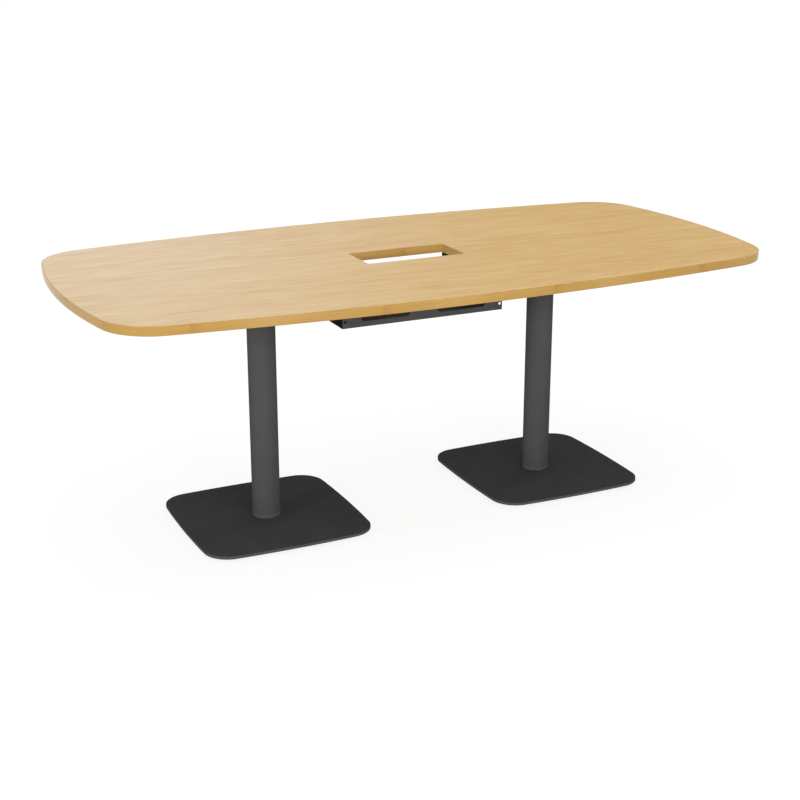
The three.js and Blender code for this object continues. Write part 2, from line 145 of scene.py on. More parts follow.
class TopSettings(bpy.types.PropertyGroup):
    """Sizes and colours of the table top."""
    side_radius: size_setting("Side radius", "Bow of the two long sides", 6.7)
    end_radius: size_setting("End radius", "Bow of the two ends", 1.75)
    corner_radius: size_setting("Corner radius", "Rounding of the outline's four corners", 0.15)
    band: size_setting("Edge strip", "Thickness of the edging round the top", 0.002)
    edge_round: size_setting("Edge rounding", "Rounding of the edging's outer arrises", 0.0016)
    glue_gap: size_setting("Glue line", "Width of the joint between board and edging", 0.0001)
    cutout_length: size_setting("Cut-out length", "Length of the cable cut-out", 0.3)
    cutout_width: size_setting("Cut-out width", "Width of the cable cut-out", 0.14)
    cutout_corner: size_setting("Cut-out corner", "Corner radius of the cable cut-out", 0.004)
    cutout_band: size_setting("Cut-out strip", "Thickness of the edging in the cut-out", 0.001)
    face_colour: colour_setting("Face", "Main tone of the printed wood face", "#D9B982")
    grain_colour: colour_setting("Grain", "Darker streaks of the wood face", "#C59C58")
    fleck_colour: colour_setting("Flecks", "Short ray flecks of the wood face", "#BE8F55")
    edging_colour: colour_setting("Edging", "Main tone of the edging strip", "#C29B57")
    edging_streak: colour_setting("Edging streaks", "Darker streaks of the edging strip", "#B68D4E")
    edging_blush: colour_setting("Edging blush", "Reddish bars of the edging strip", "#B5884C")
    edging_pale: colour_setting("Edging pale", "Paler stretches of the edging strip", "#C5A263")


class LegSettings(bpy.types.PropertyGroup):
    """Sizes and colours of the columns, plates and glides."""
    wall: size_setting("Tube wall", "Wall of the column tube", 0.002)
    tube_edge: size_setting("Tube edge", "Chamfer at the tube's foot and the flange's edges", 0.0006)
    weld: size_setting("Weld", "Leg of the weld between tube and head plate", 0.004)
    foot_side: size_setting("Foot side", "Bow of the foot plates' four sides", 3.4)
    foot_corner: size_setting("Foot corner", "Corner radius of the foot plates", 0.075)
    foot_edge: size_setting("Foot edge", "Rounding of the foot plates' edges", 0.001)
    head_corner: size_setting("Head corner", "Corner radius of the head plates", 0.04)
    head_edge: size_setting("Head edge", "Rounding of the head plates' edges", 0.0006)
    head_hole: size_setting("Head hole", "Radius of the screw holes in the head plates", 0.0033)
    sink: size_setting("Countersink", "Radius of the countersinks under the foot plates", 0.0082)
    collar: size_setting("Glide collar", "Diameter of the glides' upper collar", 0.03)
    collar_height: size_setting("Collar height", "Height of the glides' upper collar", 0.003)
    bore: size_setting("Glide bore", "Radius of the threaded bore in the glides", 0.0052)
    sole: size_setting("Glide sole", "Thickness of the glides under their bore", 0.0015)
    thread: size_setting("Thread pitch", "Pitch of the glides' studs", 0.0015)
    coat_colour: colour_setting("Coat", "Powder coat of the columns, rims and lips", "#555657")
    # Darker copy of the coat: painted shade on the foot plates' flat faces, inside the tray and on its
    # hangers.
    painted_shade_colour: colour_setting("Deep coat", "Coat of the foot plates and inside the tray", "#424345")
    glide_colour: colour_setting("Glides", "Moulded plastic of the glides", "#1F1F20")


class TraySettings(bpy.types.PropertyGroup):
    """Sizes of the cable tray and its hangers."""
    sheet: size_setting("Sheet", "Thickness of the tray's sheet", 0.0015)
    bend: size_setting("Bend", "Outer radius of the tray's bends", 0.003)
    slot_length: size_setting("Slot length", "Length of the lips' slots", 0.15)
    slot_height: size_setting("Slot height", "Height of the lips' slots", 0.018)
    slot_rise: size_setting("Slot rise", "Slots' lower edge above the tray's underside", 0.016)
    slot_spacing: size_setting("Slot spacing", "Distance between the slots' middles", 0.236)
    hole: size_setting("End hole", "Diameter of the holes at the lips' ends", 0.008)
    hole_rise: size_setting("Hole rise", "End holes' middle above the tray's underside", 0.019)
    hole_distance: size_setting("Hole distance", "End holes' middle from the lip's end", 0.008)
    strap: size_setting("Hanger sheet", "Thickness of the hangers' sheet", 0.002)
    strap_bend: size_setting("Hanger bend", "Inner radius of the hangers' bends", 0.003)
    strap_gap: size_setting("Hanger gap", "Room between a hanger and the tray's lips", 0.0003)
    notch_room: size_setting("Notch room", "Room between a slot and the hanger's notch", 0.002)


class StageSettings(bpy.types.PropertyGroup):
    """Light, floor and camera."""
    floor_colour: colour_setting("Floor", "Paint of the studio floor", "#F6F6F6")
    bounce_colour: colour_setting("Bounce", "Tone of the light that the floor sends back", "#CACACA")
    card_colour: colour_setting("Card", "Warm board seen in reflections on the right", "#DABE94")
    ambient: FloatProperty(name="Ambient", description="Strength of the even light", default=0.56)
    upper_power: power_setting("Upper", "Lamp above the top", 49.0)
    side_power: power_setting("Side", "Lamp on the left", 122.0)
    front_power: power_setting("Front", "Lamp in front", 100.0)
    rear_power: power_setting("Rear", "Lamp behind, on the right", 50.0)
    lens: FloatProperty(
        name="Lens",
        description="Focal length of the camera's lens",
        default=66.828,
        subtype="DISTANCE_CAMERA",
    )


class TableSettings(bpy.types.PropertyGroup):
    """All settings of the table."""
    top: PointerProperty(type=TopSettings, name="Top", description="Table top")
    legs: PointerProperty(type=LegSettings, name="Legs", description="Columns, plates and glides")
    tray: PointerProperty(type=TraySettings, name="Tray", description="Cable tray")
    stage: PointerProperty(type=StageSettings, name="Stage", description="Light, floor and camera")


def add(tree, kind, inputs=None, output=0, **settings):
    """Adds a shader node with its settings and its inputs' values or links, and returns an output."""
    node = tree.nodes.new("ShaderNode" + kind)
    for option, value in settings.items():
        setattr(node, option, value)
    for name, value in (inputs or {}).items():
        if isinstance(value, bpy.types.NodeSocket):
            tree.links.new(value, node.inputs[name])
        else:
            node.inputs[name].default_value = value
    return node.outputs[output] if node.outputs else None


def shade(tone, factor):
    """A lighter or darker tone."""
    return [part * factor for part in tone[:3]] + [1.0]


def start_material(name):
    """A new material with nodes."""
    material = bpy.data.materials.new(name)
    material.use_nodes = True
    return material


def get_material(name, build, *options):
    """The material of a name, which is built when it is first asked for."""
    if name not in bpy.data.materials:
        tree = start_material(name).node_tree
        build(tree, tree.nodes["Principled BSDF"], *options)
    return bpy.data.materials[name]


def finish_material(tree, shader, colour, texture, roughness, height, depth):
    """Joins a colour, a roughness that a texture varies between two values, and surface height."""
    limits = {"Value": texture, "From Min": 0.3, "From Max": 0.7}
    limits["To Min"], limits["To Max"] = roughness
    varied = add(tree, "MapRange", limits)
    bump = add(tree, "Bump", {"Height": height, "Strength": 1.0, "Distance": depth}, "Normal")
    tree.links.new(colour, shader.inputs["Base Color"])
    tree.links.new(varied, shader.inputs["Roughness"])
    tree.links.new(bump, shader.inputs["Normal"])


# Board faced with melamine paper, pressed to a satin finish. The print gives long straight streaks
# of pale beech with short darker flecks, and the resin over it a soft sheen at low angles.
def beech_melamine(tree, shader, top):
    shader.inputs["IOR"].default_value = 1.65
    shader.inputs["Coat Weight"].default_value = 0.4
    shader.inputs["Coat Roughness"].default_value = 0.3
    place = add(tree, "TexCoord", output="Object")
    # Streaks about 20 mm wide and 150 mm long with finer ones in them, over bands about 60 mm wide.
    streak_place = add(tree, "Mapping", {"Vector": place, "Scale": (1 / 0.15, 1 / 0.02, 1 / 0.02)})
    fineness = {"Scale": 1.0, "Detail": 4.0, "Roughness": 0.6}
    streak = add(tree, "TexNoise", {"Vector": streak_place, **fineness})
    band_place = add(tree, "Mapping", {"Vector": place, "Scale": (1 / 0.5, 1 / 0.06, 1 / 0.06)})
    band = add(tree, "TexNoise", {"Vector": band_place, "Scale": 1.0, "Detail": 2.0})
    figure = add(tree, "Mix", {"Factor": 0.35, "A": streak, "B": band})
    share = add(tree, "MapRange", {"Value": figure, "From Min": 0.34, "From Max": 0.66})
    tones = {SHARE: share, FIRST: top.face_colour, SECOND: top.grain_colour}
    grain = add(tree, "Mix", tones, RESULT, data_type="RGBA")
    # Flecks about 6 mm wide and 25 mm long, scattered thinly over the face.
    fleck_place = add(tree, "Mapping", {"Vector": place, "Scale": (1 / 0.025, 1 / 0.006, 1 / 0.006)})
    fleck = add(tree, "TexNoise", {"Vector": fleck_place, "Scale": 1.0, "Detail": 1.0})
    limits = {"Value": fleck, "From Min": 0.68, "From Max": 0.8, "To Max": 0.8}
    fleck_share = add(tree, "MapRange", limits, interpolation_type="SMOOTHSTEP")
    tones = {SHARE: fleck_share, FIRST: grain, SECOND: top.fleck_colour}
    colour = add(tree, "Mix", tones, RESULT, data_type="RGBA")
    # Pressed pores, about 1.5 mm wide and 12 mm long, drawn wider than the real 0.2 mm to show.
    pore_place = add(tree, "Mapping", {"Vector": place, "Scale": (1 / 0.012, 1 / 0.0015, 1 / 0.0015)})
    pore = add(tree, "TexNoise", {"Vector": pore_place, "Scale": 1.0, "Detail": 1.0})
    finish_material(tree, shader, colour, streak, (0.32, 0.38), pore, 0.03 * MM)


# ABS edging with a printed wood tone, extruded and trimmed flush. It is warmer and more even than
# the face, with lengthwise streaks, and a reddish bar and a paler stretch at each repeat of its print.
def printed_abs_edging(tree, shader, top):
    shader.inputs["IOR"].default_value = 1.52
    # The lacquer is rubbed down, so it shines only at low angles.
    shader.inputs["Specular IOR Level"].default_value = 0.08
    place = add(tree, "UVMap", uv_map="strip")
    # Streaks about 3 mm high and 250 mm long along the strip.
    streak_place = add(tree, "Mapping", {"Vector": place, "Scale": (1 / 0.25, 1 / 0.003, 1.0)})
    streak = add(tree, "TexNoise", {"Vector": streak_place, "Scale": 1.0, "Detail": 3.0})
    share = add(tree, "MapRange", {"Value": streak, "From Min": 0.35, "From Max": 0.75})
    tones = {SHARE: share, FIRST: top.edging_colour, SECOND: top.edging_streak}
    grain = add(tree, "Mix", tones, RESULT, data_type="RGBA")
    # A bar starts sharply, on a line that wanders by up to 30 mm from streak to streak, and fades out.
    # The paler stretch is strongest at its middle, which follows the bar's start.
    repeat, lead, wander, fade = 0.49, 0.41, 0.03, 0.045
    stretch_middle, stretch_reach = 0.19, 0.12
    along = add(tree, "SeparateXYZ", {0: place}, "X")
    shifted = add(tree, "MapRange", {"Value": streak, "To Max": wander})
    start = add(tree, "Math", {0: along, 1: shifted}, operation="ADD")
    led = add(tree, "Math", {0: start, 1: lead}, operation="ADD")
    phase = add(tree, "Math", {0: led, 1: repeat}, operation="FLOORED_MODULO")
    limits = {"Value": phase, "From Min": fade, "From Max": 0.0, "To Max": 0.7}
    bar = add(tree, "MapRange", limits, interpolation_type="SMOOTHSTEP")
    tones = {SHARE: bar, FIRST: grain, SECOND: top.edging_blush}
    blush = add(tree, "Mix", tones, RESULT, data_type="RGBA")
    off = add(tree, "Math", {0: phase, 1: stretch_middle}, operation="SUBTRACT")
    distance = add(tree, "Math", {0: off}, operation="ABSOLUTE")
    limits = {"Value": distance, "From Min": stretch_reach, "From Max": 0.0, "To Max": 0.6}
    stretch = add(tree, "MapRange", limits, interpolation_type="SMOOTHSTEP")
    tones = {SHARE: stretch, FIRST: blush, SECOND: top.edging_pale}
    colour = add(tree, "Mix", tones, RESULT, data_type="RGBA")
    finish_material(tree, shader, colour, streak, (0.18, 0.25), streak, 0.02 * MM)


# Steel with a fine-textured powder coat, baked to a dead matte film. It shades evenly with no
# highlight, shows its grit close up, and shifts very slightly in tone where the film lies thicker.
def powder_coat(tree, shader, tone):
    shader.inputs["IOR"].default_value = 1.5
    # The grit shades itself, so nothing of the film's own gloss is left.
    shader.inputs["Specular IOR Level"].default_value = 0.0
    place = add(tree, "TexCoord", output="Object")
    # Grit about 1.2 mm across, drawn coarser than the real 0.3 mm so that it shows.
    grit = add(tree, "TexNoise", {"Vector": place, "Scale": 1 / (1.2 * MM), "Detail": 2.0})
    # Film thickness changes over about 90 mm.
    film = add(tree, "TexNoise", {"Vector": place, "Scale": 1 / 0.09, "Detail": 2.0})
    mottle = add(tree, "Mix", {"Factor": 0.35, "A": grit, "B": film})
    share = add(tree, "MapRange", {"Value": mottle, "From Min": 0.3, "From Max": 0.7})
    tones = {SHARE: share, FIRST: shade(tone, 0.88), SECOND: shade(tone, 1.12)}
    colour = add(tree, "Mix", tones, RESULT, data_type="RGBA")
    finish_material(tree, shader, colour, grit, (0.5, 0.6), grit, 0.06 * MM)


# Steel fasteners with zinc plating and a thin passivation, bright on screws and studs and black on
# rivets. The plating gives a soft shine with a faint bluish and yellowish cast from place to place.
def zinc_plating(tree, shader, cool, warm):
    shader.inputs["Metallic"].default_value = 1.0
    place = add(tree, "TexCoord", output="Object")
    # The cast changes over about 4 mm.
    cast = add(tree, "TexNoise", {"Vector": place, "Scale": 1 / (4 * MM), "Detail": 1.0})
    tones = {SHARE: cast, FIRST: linear(cool), SECOND: linear(warm)}
    colour = add(tree, "Mix", tones, RESULT, data_type="RGBA")
    # The plating's grain is far finer than the 0.5 mm at which it is drawn, so that it shows.
    grain = add(tree, "TexNoise", {"Vector": place, "Scale": 1 / (0.5 * MM), "Detail": 2.0})
    finish_material(tree, shader, colour, grain, (0.28, 0.42), grain, 0.01 * MM)


# Glides moulded in black polyamide with a spark-eroded mould texture, which gives an even dull face.
def moulded_polyamide(tree, shader, tone):
    shader.inputs["IOR"].default_value = 1.53
    place = add(tree, "TexCoord", output="Object")
    # Mould texture about 0.4 mm across, drawn coarser than the real 0.1 mm so that it shows.
    texture = add(tree, "TexNoise", {"Vector": place, "Scale": 1 / (0.4 * MM), "Detail": 2.0})
    # Flow marks over about 15 mm.
    flow = add(tree, "TexNoise", {"Vector": place, "Scale": 1 / (15 * MM), "Detail": 1.0})
    tones = {SHARE: flow, FIRST: tone, SECOND: shade(tone, 1.3)}
    colour = add(tree, "Mix", tones, RESULT, data_type="RGBA")
    finish_material(tree, shader, colour, texture, (0.5, 0.65), texture, 0.03 * MM)


def draw(bm, vert, place):
    """Extrudes a vertex along a straight edge to a place, and returns the new vertex."""
    made = bmesh.ops.extrude_vert_indiv(bm, verts=[vert])["verts"][0]
    made.co = place
    return made


def swing(bm, vert, centre, angle, steps, axis=(0, 0, 1)):
    """Spins a vertex about a centre into an arc, and returns the arc's last vertex."""
    made = bmesh.ops.spin(bm, geom=[vert], cent=centre, axis=axis, angle=angle, steps=steps)
    return [part for part in made["geom_last"] if isinstance(part, bmesh.types.BMVert)][0]


def mirror(bm, *axes):
    """Mirrors everything drawn so far across the middle planes, and joins the seams."""
    for axis in axes:
        parts = bm.verts[:] + bm.edges[:] + bm.faces[:]
        bmesh.ops.mirror(bm, geom=parts, matrix=Matrix(), axis=axis, merge_dist=MERGE)
    bmesh.ops.remove_doubles(bm, verts=bm.verts[:], dist=MERGE)


def fill(bm, edges, facing=(0, 0, 1)):
    """Fills the area between closed outlines, and returns its faces."""
    made = bmesh.ops.triangle_fill(bm, edges=edges, use_beauty=True, normal=facing)
    return [part for part in made["geom"] if isinstance(part, bmesh.types.BMFace)]


def thicken(bm, faces, way):
    """Extrudes faces along a vector to a closed body, and returns the moved vertices."""
    made = bmesh.ops.extrude_face_region(bm, geom=faces)
    moved = [part for part in made["geom"] if isinstance(part, bmesh.types.BMVert)]
    bmesh.ops.translate(bm, verts=moved, vec=way)
    bmesh.ops.recalc_face_normals(bm, faces=bm.faces[:])
    return moved


def draw_out(bm, edges, way):
    """Extrudes edges along a vector into faces, and returns the far edges."""
    made = bmesh.ops.extrude_edge_only(bm, edges=edges)["geom"]
    moved = [part for part in made if isinstance(part, bmesh.types.BMVert)]
    bmesh.ops.translate(bm, verts=moved, vec=way)
    return [part for part in made if isinstance(part, bmesh.types.BMEdge)]


def round_edges(bm, edges, offset, segments):
    """Rounds edges with a bevel."""
    bmesh.ops.bevel(
        bm,
        geom=edges,
        offset=offset,
        offset_type="OFFSET",
        segments=segments,
        profile=0.5,
        affect="EDGES",
        material=-1,
        clamp_overlap=True,
    )


def sharp_edges(bm):
    """Edges whose faces meet at a clear corner."""
    return [edge for edge in bm.edges if edge.is_manifold and edge.calc_face_angle() > CORNER_ANGLE]


def turn(bm, profile, steps, closed=False):
    """Spins a line of radii and heights about the upright axis into a turned body."""
    first = last = bm.verts.new((profile[0][0], 0, profile[0][1]))
    for radius, height in profile[1:]:
        last = draw(bm, last, (radius, 0, height))
    if closed:
        bm.edges.new((last, first))
    parts = bm.verts[:] + bm.edges[:]
    bmesh.ops.spin(
        bm,
        geom=parts,
        cent=(0, 0, 0),
        axis=(0, 0, 1),
        angle=2 * math.pi,
        steps=steps,
        use_merge=True,
    )
    bmesh.ops.remove_doubles(bm, verts=bm.verts[:], dist=MERGE)
    bmesh.ops.recalc_face_normals(bm, faces=bm.faces[:])


def shift(bm, way):
    """Moves a whole mesh to its place."""
    bmesh.ops.translate(bm, verts=bm.verts[:], vec=way)


def stand(bm, middle, size):
    """Moves a mesh drawn upwards from the origin onto the underside of its node."""
    shift(bm, (middle.x, middle.y, middle.z - size.z / 2))


def finish_piece(bm, name, material, nodes, body="table"):
    """Turns a mesh into a finished piece that rides on a body and stands for nodes of the frame."""
    mesh = bpy.data.meshes.new(name)
    bm.to_mesh(mesh)
    bm.free()
    mesh.materials.append(material)
    mesh.shade_smooth()
    mesh.set_sharp_from_angle(angle=SHADE_ANGLE)
    piece = bpy.data.objects.new(name, mesh)
    bpy.context.scene.collection.objects.link(piece)
    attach(piece, body)
    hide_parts(*nodes)
    return piece


def draw_bowed_quarter(bm, size, side_radius, end_radius, corner_radius, inset, height):
    """Draws a quarter of a bowed outline, from its right side's middle to its rear side's."""
    side = Vector((0, size.y / 2 - side_radius))
    end = Vector((size.x / 2 - end_radius, 0))
    side_reach = side_radius - corner_radius
    end_reach = end_radius - corner_radius
    meeting = intersect_sphere_sphere_2d(side, side_reach, end, end_reach)
    corner = max(meeting, key=lambda place: place.x + place.y)
    end_angle = math.atan2(corner.y, corner.x - end.x)
    side_angle = math.atan2(corner.y - side.y, corner.x)
    vert = bm.verts.new((size.x / 2 - inset, 0, height))
    vert = swing(bm, vert, end.to_3d(), end_angle, END_STEPS)
    vert = swing(bm, vert, corner.to_3d(), side_angle - end_angle, CORNER_STEPS)
    swing(bm, vert, side.to_3d(), QUARTER - side_angle, SIDE_STEPS)


def draw_top_quarter(bm, top, inset, height):
    """Draws a quarter of the top's outline, moved inwards by an inset."""
    size = spread("edge_band")[1]
    draw_bowed_quarter(bm, size, top.side_radius, top.end_radius, top.corner_radius, inset, height)


def draw_rounded_quarter(bm, length, width, corner, height, steps):
    """Draws a quarter of a rounded rectangle, from its right side's middle to its rear side's."""
    vert = bm.verts.new((length / 2, 0, height))
    vert = draw(bm, vert, (length / 2, width / 2 - corner, height))
    vert = swing(bm, vert, (length / 2 - corner, width / 2 - corner, height), QUARTER, steps)
    draw(bm, vert, (0, width / 2, height))


def draw_cutout_quarter(bm, top, growth, height):
    """Draws a quarter of the cable cut-out, grown on all sides."""
    draw_rounded_quarter(
        bm,
        top.cutout_length + 2 * growth,
        top.cutout_width + 2 * growth,
        top.cutout_corner + growth,
        height,
        BEND_STEPS,
    )


def bearing(place):
    """Angle of a place about the upright axis."""
    return math.atan2(place.y, place.x)


def unroll(bm, rim):
    """Lays a UV map in metres on a strip: along its rim, and up its height."""
    points = sorted((place.to_2d() for place in rim), key=bearing)
    angles = [bearing(place) for place in points] + [bearing(points[0]) + 2 * math.pi]
    points.append(points[0])
    steps = [(after - before).length for before, after in zip(points, points[1:])]
    along = numpy.concatenate([[0.0], numpy.cumsum(steps)])
    whole = along[-1]
    layer = bm.loops.layers.uv.new("strip")
    for face in bm.faces:
        turns = [(bearing(loop.vert.co) - angles[0]) % (2 * math.pi) for loop in face.loops]
        reach = [numpy.interp(angle + angles[0], angles, along) for angle in turns]
        if max(reach) - min(reach) > whole / 2:
            reach = [part if part > whole / 2 else part + whole for part in reach]
        for loop, part in zip(face.loops, reach):
            loop[layer].uv = (part, loop.vert.co.z)


def make_strip(draw_outer, draw_inner, node, rounding):
    """Makes an edging strip between two drawn quarters, with the visible arrises rounded."""
    low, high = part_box(node)
    bm = bmesh.new()
    shown = bm.verts.layers.int.new("shown")
    draw_outer(bm, low.z)
    for vert in bm.verts:
        vert[shown] = 1
    draw_inner(bm, low.z)
    mirror(bm, "X", "Y")
    rim = [vert.co.copy() for vert in bm.verts if vert[shown]]
    ring = bmesh.ops.bridge_loops(bm, edges=bm.edges[:])["faces"]
    thicken(bm, ring, (0, 0, high.z - low.z))
    arrises = [edge for edge in sharp_edges(bm) if all(vert[shown] for vert in edge.verts)]
    round_edges(bm, arrises, rounding, 4)
    unroll(bm, rim)
    return bm


def coat_faces(bm, wanted):
    """Gives the second material to the faces whose middle and direction are wanted."""
    bm.normal_update()
    for face in bm.faces:
        if wanted(face.calc_center_median(), face.normal):
            face.material_index = 1


def make_plate(node, draw_quarter, edge, holes, sink, bore):
    """Makes a plate of a drawn outline with countersunk or plain holes, on the middle of its node."""
    middle, size = spread(node)
    bm = bmesh.new()
    draw_quarter(bm, size)
    mirror(bm, "X", "Y")
    for hole in holes:
        place = Matrix.Translation((hole.x - middle.x, hole.y - middle.y, -size.z / 2))
        bmesh.ops.create_circle(bm, cap_ends=False, segments=SCREW_SIDES, radius=sink, matrix=place)
    moved = thicken(bm, fill(bm, bm.edges[:]), (0, 0, size.z))
    for hole in holes:
        centre = Vector((hole.x - middle.x, hole.y - middle.y, size.z / 2))
        near = [vert for vert in moved if (vert.co - centre).length < sink * 1.01]
        space = Matrix.Translation(-centre)
        bmesh.ops.scale(bm, verts=near, vec=(bore / sink, bore / sink, 1), space=space)
    reach = RIM_SHARE * min(size.x, size.y)
    rims = [line for line in sharp_edges(bm) if line.verts[0].co.to_2d().length > reach]
    round_edges(bm, rims, edge, 3)
    shift(bm, middle)
    return bm


def add_drive(bm, radius, depth):
    """Closes a screw's open head with a flat face and sinks a cross recess into it."""
    border = radius * 0.3
    arm = radius * 0.16
    taper = 0.6
    rim = [edge for edge in bm.edges if edge.is_boundary]
    face = bmesh.ops.holes_fill(bm, edges=rim, sides=0)["faces"][0]
    bmesh.ops.inset_individual(bm, faces=[face], thickness=border)
    for vert in face.verts:
        x, y = vert.co.x, vert.co.y
        if abs(x) < abs(y) + MERGE:
            vert.co.x = max(-arm, min(arm, x))
        if abs(y) < abs(x) + MERGE:
            vert.co.y = max(-arm, min(arm, y))
    floor = bmesh.ops.extrude_discrete_faces(bm, faces=[face])["faces"][0]
    bmesh.ops.translate(bm, verts=floor.verts[:], vec=(0, 0, depth))
    bmesh.ops.scale(bm, verts=floor.verts[:], vec=(taper, taper, 1))
    bmesh.ops.recalc_face_normals(bm, faces=bm.faces[:])


def make_screw(node, outline, head, shank):
    """Makes a screw whose head, of a given outline, points down."""
    middle, size = spread(node)
    radius = size.x / 2
    rim = [(radius * out, head * up) for out, up in outline]
    tip = shank * 0.25
    drive_depth = radius * 0.36
    body = [(shank, head), (shank, size.z - tip), (shank - tip, size.z), (0, size.z)]
    bm = bmesh.new()
    turn(bm, rim + body, SCREW_SIDES)
    add_drive(bm, rim[0][0], drive_depth)
    stand(bm, middle, size)
    return bm


class TABLE_OT_top_board(bpy.types.Operator):
    """Builds the faced board with its bowed sides and its cable cut-out"""
    bl_idname = "table.top_board"
    bl_label = "Top board"

    def execute(self, context):
        top = context.scene.table_settings.top
        low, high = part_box("top_panel")
        bm = bmesh.new()
        draw_top_quarter(bm, top, top.band + top.glue_gap, low.z)
        draw_cutout_quarter(bm, top, top.cutout_band + top.glue_gap, low.z)
        mirror(bm, "X", "Y")
        thicken(bm, fill(bm, bm.edges[:]), (0, 0, high.z - low.z))
        beech = get_material("beech_melamine", beech_melamine, top)
        finish_piece(bm, "faced_board", beech, ["top_panel"])
        return {"FINISHED"}


class TABLE_OT_edge_strips(bpy.types.Operator):
    """Builds the edging round the top and inside its cut-out"""
    bl_idname = "table.edge_strips"
    bl_label = "Edge strips"

    def execute(self, context):
        top = context.scene.table_settings.top
        edging = get_material("printed_abs_edging", printed_abs_edging, top)
        bm = make_strip(
            lambda made, height: draw_top_quarter(made, top, 0, height),
            lambda made, height: draw_top_quarter(made, top, top.band, height),
            "edge_band",
            top.edge_round,
        )
        finish_piece(bm, "outer_edging", edging, ["edge_band"])
        bm = make_strip(
            lambda made, height: draw_cutout_quarter(made, top, 0, height),
            lambda made, height: draw_cutout_quarter(made, top, top.cutout_band, height),
            "cutout_edge_band",
            top.cutout_band * 0.5,
        )
        finish_piece(bm, "cutout_edging", edging, ["cutout_edge_band"])
        return {"FINISHED"}


class TABLE_OT_columns(bpy.types.Operator):
    """Builds the column tubes, with a weld at their heads, and the flanges at their feet"""
    bl_idname = "table.columns"
    bl_label = "Columns"

    def execute(self, context):
        legs = context.scene.table_settings.legs
        coat = get_material("anthracite_powder_coat", powder_coat, legs.coat_colour)
        for end in ENDS:
            middle, size = spread(f"column_{end}")
            radius = size.x / 2
            inner = radius - legs.wall
            weld = legs.weld
            edge = legs.tube_edge
            bm = bmesh.new()
            tube = [
                (inner, 0),
                (radius - edge, 0),
                (radius - edge * 0.3, edge * 0.3),
                (radius, edge),
                (radius, size.z - weld),
                (radius + weld * 0.12, size.z - weld * 0.55),
                (radius + weld * 0.45, size.z - weld * 0.2),
                (radius + weld, size.z),
                (inner, size.z),
            ]
            turn(bm, tube, COLUMN_SIDES, closed=True)
            stand(bm, middle, size)
            finish_piece(bm, f"column_tube_{end}", coat, [f"column_{end}"])

            middle, size = spread(f"column_flange_{end}")
            radius = size.x / 2
            bm = bmesh.new()
            ring = [
                (0, 0),
                (radius - edge, 0),
                (radius, edge),
                (radius, size.z - edge),
                (radius - edge * 0.3, size.z - edge * 0.3),
                (radius - edge, size.z),
                (0, size.z),
            ]
            turn(bm, ring, COLUMN_SIDES)
            stand(bm, middle, size)
            finish_piece(bm, f"foot_ring_{end}", coat, [f"column_flange_{end}"])
        return {"FINISHED"}


class TABLE_OT_plates(bpy.types.Operator):
    """Builds the foot plates on the floor and the head plates under the top"""
    bl_idname = "table.plates"
    bl_label = "Plates"

    def execute(self, context):
        legs = context.scene.table_settings.legs
        coat = get_material("anthracite_powder_coat", powder_coat, legs.coat_colour)
        # Darker copy of the coat, painted shade on the foot plates' flat faces under the top.
        painted_shade_coat = get_material("powder_coat_painted_shade", powder_coat, legs.painted_shade_colour)

        def draw_foot(bm, size):
            bow = legs.foot_side
            draw_bowed_quarter(bm, size, bow, bow, legs.foot_corner, 0, -size.z / 2)

        def draw_head(bm, size):
            draw_rounded_quarter(bm, size.x, size.y, legs.head_corner, -size.z / 2, ROUND_STEPS)

        for end in ENDS:
            screws = [spread(f"base_screw_{end}_{i}")[0] for i in range(1, 5)]
            node = f"base_plate_{end}"
            bore = legs.sink * 0.55
            bm = make_plate(node, draw_foot, legs.foot_edge, screws, legs.sink, bore)
            middle, size = spread(node)

            def on_rim(place, way):
                return (place - middle).to_2d().length > RIM_SHARE * size.x and abs(way.z) < 0.9

            # The flat faces get the darker coat, painted shade from the top that hangs over them; the
            # rim keeps the columns' coat.
            coat_faces(bm, on_rim)
            piece = finish_piece(bm, f"foot_plate_{end}", painted_shade_coat, [node])
            piece.data.materials.append(coat)
            screws = [spread(f"top_plate_screw_{end}_{i}")[0] for i in range(1, 5)]
            node = f"top_plate_{end}"
            bm = make_plate(node, draw_head, legs.head_edge, screws, legs.head_hole, legs.head_hole)
            finish_piece(bm, f"head_plate_{end}", coat, [node])
        return {"FINISHED"}


